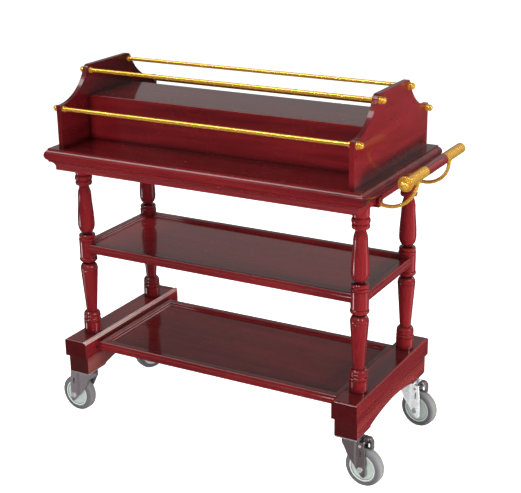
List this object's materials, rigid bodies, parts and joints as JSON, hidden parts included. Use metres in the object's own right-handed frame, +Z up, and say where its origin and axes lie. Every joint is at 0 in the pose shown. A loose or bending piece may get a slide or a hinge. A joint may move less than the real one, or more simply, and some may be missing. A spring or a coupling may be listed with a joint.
{
  "type": "wine trolley",
  "caption": "Wine trolley with a moulded table top, a railed gallery with metal rods, turned legs, tray shelves, swivel casters and a push handle.",
  "frame": {"origin": "on the floor, under the middle of the whole outline", "axes": "+X along the trolley towards the push handle, +Y towards the back, +Z up"},
  "size_m": [1.0252, 0.486, 0.958],
  "materials": {
    "lacquered_wood": "deep red gloss lacquer",
    "shelf_veneer": "dark red gloss lacquer on veneer",
    "plain_wood": "bare beech",
    "polished_brass": "polished, lacquered",
    "bright_steel": "zinc plated",
    "pressed_steel": "bright zinc",
    "hub_plastic": "moulded",
    "tyre_rubber": "grey, non-marking"
  },
  "bodies": {
    "trolley": {"table_top": "lacquered_wood", "cove_rails_long": "lacquered_wood", "cove_rails_end": "lacquered_wood", "leg_front_left": "lacquered_wood", "leg_front_right": "lacquered_wood", "leg_back_left": "lacquered_wood", "leg_back_right": "lacquered_wood", "middle_shelf_panel": "shelf_veneer", "middle_shelf_rim": "lacquered_wood", "lower_shelf_panel": "shelf_veneer", "lower_shelf_rim": "lacquered_wood", "shelf_dowels": "plain_wood", "beam_cap_left": "lacquered_wood", "beam_cap_right": "lacquered_wood", "beam_foot_left": "lacquered_wood", "beam_foot_right": "lacquered_wood", "end_panel_left": "lacquered_wood", "end_panel_right": "lacquered_wood", "panel_dowels": "plain_wood", "riser_top": "lacquered_wood", "riser_front": "lacquered_wood", "riser_back": "lacquered_wood", "rod_front_low": "polished_brass", "rod_front_high": "polished_brass", "rod_back_high": "polished_brass", "rod_back_low": "polished_brass", "rod_knobs": "polished_brass", "rod_collars": "polished_brass", "handle_grip": "lacquered_wood", "handle_sleeve_front": "polished_brass", "handle_sleeve_back": "polished_brass", "handle_caps": "polished_brass", "handle_rod": "bright_steel", "handle_arm_front": "polished_brass", "handle_arm_back": "polished_brass", "handle_blocks": "lacquered_wood", "caster_plates": "pressed_steel", "king_pins": "bright_steel", "plate_screws": "bright_steel"},
    "swivel_front_left": {"fork_front_left": "pressed_steel", "axle_front_left": "bright_steel"},
    "wheel_front_left": {"hub_front_left": "hub_plastic", "tyre_front_left": "tyre_rubber"},
    "swivel_front_right": {"fork_front_right": "pressed_steel", "axle_front_right": "bright_steel", "brake_pin_front": "bright_steel"},
    "wheel_front_right": {"hub_front_right": "hub_plastic", "tyre_front_right": "tyre_rubber"},
    "swivel_back_left": {"fork_back_left": "pressed_steel", "axle_back_left": "bright_steel"},
    "wheel_back_left": {"hub_back_left": "hub_plastic", "tyre_back_left": "tyre_rubber"},
    "swivel_back_right": {"fork_back_right": "pressed_steel", "axle_back_right": "bright_steel", "brake_pin_back": "bright_steel"},
    "wheel_back_right": {"hub_back_right": "hub_plastic", "tyre_back_right": "tyre_rubber"},
    "brake_front": {"brake_lever_front": "pressed_steel"},
    "brake_back": {"brake_lever_back": "pressed_steel"}
  },
  "joints": [
    {"name": "swivel_front_left_turn", "type": "hinge", "parent": "trolley", "child": "swivel_front_left", "pos_m": [-0.42539, -0.178, 0.12], "axis": [0, 0, 1], "continuous": true},
    {"name": "wheel_front_left_spin", "type": "hinge", "parent": "swivel_front_left", "child": "wheel_front_left", "pos_m": [-0.4623, -0.17542, 0.05], "axis": [-0.0698, -0.9976, 0], "continuous": true},
    {"name": "swivel_front_right_turn", "type": "hinge", "parent": "trolley", "child": "swivel_front_right", "pos_m": [0.37461, -0.178, 0.12], "axis": [0, 0, 1], "continuous": true},
    {"name": "wheel_front_right_spin", "type": "hinge", "parent": "swivel_front_right", "child": "wheel_front_right", "pos_m": [0.41141, -0.18187, 0.05], "axis": [0.1045, 0.9945, 0], "continuous": true},
    {"name": "swivel_back_left_turn", "type": "hinge", "parent": "trolley", "child": "swivel_back_left", "pos_m": [-0.42539, 0.178, 0.12], "axis": [0, 0, 1], "continuous": true},
    {"name": "wheel_back_left_spin", "type": "hinge", "parent": "swivel_back_left", "child": "wheel_back_left", "pos_m": [-0.43984, 0.14394, 0.05], "axis": [0.9205, -0.3907, 0], "continuous": true},
    {"name": "swivel_back_right_turn", "type": "hinge", "parent": "trolley", "child": "swivel_back_right", "pos_m": [0.37461, 0.178, 0.12], "axis": [0, 0, 1], "continuous": true},
    {"name": "wheel_back_right_spin", "type": "hinge", "parent": "swivel_back_right", "child": "wheel_back_right", "pos_m": [0.41105, 0.17158, 0.05], "axis": [0.1736, 0.9848, 0], "continuous": true},
    {"name": "brake_front_press", "type": "hinge", "parent": "swivel_front_right", "child": "brake_front", "pos_m": [0.40942, -0.18166, 0.1127], "axis": [0.1045, 0.9945, 0], "range_deg": [0, 5]},
    {"name": "brake_back_press", "type": "hinge", "parent": "swivel_back_right", "child": "brake_back", "pos_m": [0.40908, 0.17192, 0.1127], "axis": [0.1736, 0.9848, 0], "range_deg": [0, 5]}
  ]
}
